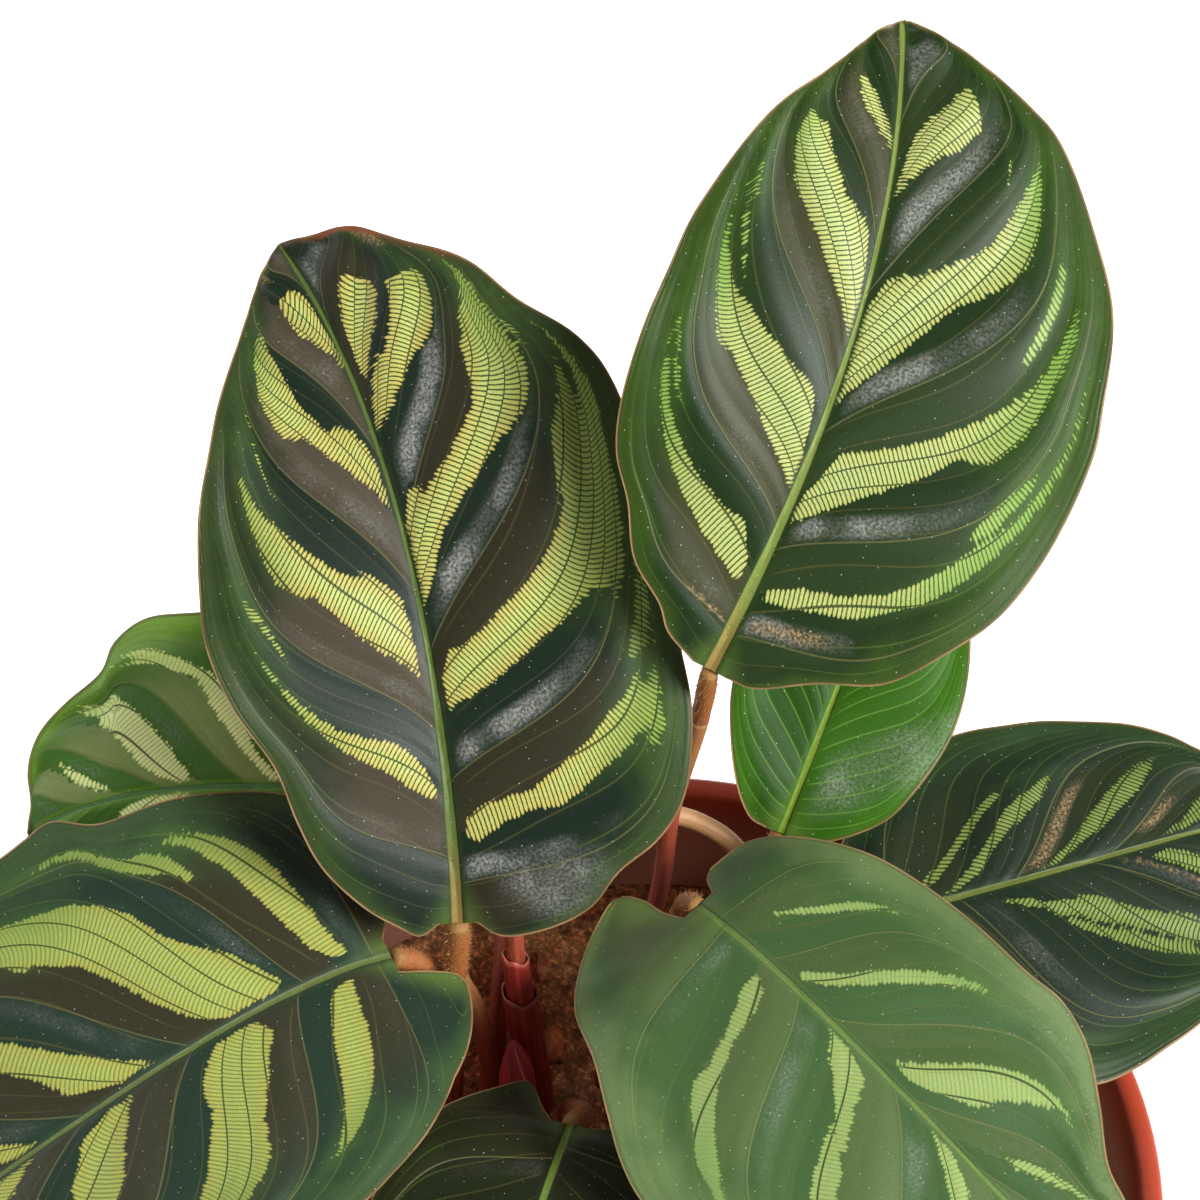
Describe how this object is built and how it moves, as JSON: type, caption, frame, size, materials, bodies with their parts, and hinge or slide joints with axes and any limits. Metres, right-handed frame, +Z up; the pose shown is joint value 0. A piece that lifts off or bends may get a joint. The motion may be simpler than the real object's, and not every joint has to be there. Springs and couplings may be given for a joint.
{
  "type": "potted peacock plant",
  "caption": "Potted peacock plant: broad oval leaves with feathered pale and dark green bands on slender stalks, rising from dark soil in a round terracotta-coloured plastic pot.",
  "frame": {"origin": "centre of the pot's flat underside", "axes": "+Z up; -Y towards the viewer; +X to the viewer's right"},
  "size_m": [0.177, 0.1591, 0.1976],
  "materials": {
    "pot_plastic": "satin moulded plastic",
    "potting_mix": "loose peat and coir",
    "leaf": "satin leaf, patterned above and burgundy beneath",
    "young_leaf": "satin young leaf",
    "petiole": "fuzzy leaf stalk",
    "pulvinus": "fuzzy tan joint",
    "sheath": "smooth leaf sheath",
    "shoot": "smooth rolled leaf"
  },
  "bodies": {
    "root": {"pot": "pot_plastic", "soil": "potting_mix", "tall_left_blade": "leaf", "tall_left_petiole": "petiole", "tall_left_pulvinus": "pulvinus", "tall_right_blade": "leaf", "tall_right_petiole": "petiole", "tall_right_pulvinus": "pulvinus", "young_blade": "young_leaf", "young_petiole": "petiole", "young_pulvinus": "pulvinus", "back_left_blade": "leaf", "back_left_petiole": "petiole", "back_left_pulvinus": "pulvinus", "back_right_blade": "leaf", "back_right_petiole": "petiole", "back_right_pulvinus": "pulvinus", "front_left_blade": "leaf", "front_left_petiole": "petiole", "front_left_pulvinus": "pulvinus", "front_right_blade": "leaf", "front_right_petiole": "petiole", "front_right_pulvinus": "pulvinus", "front_middle_blade": "leaf", "front_middle_petiole": "petiole", "front_middle_pulvinus": "pulvinus", "inner_sheath": "sheath", "outer_sheath": "sheath", "new_shoot": "shoot"}
  },
  "joints": []
}
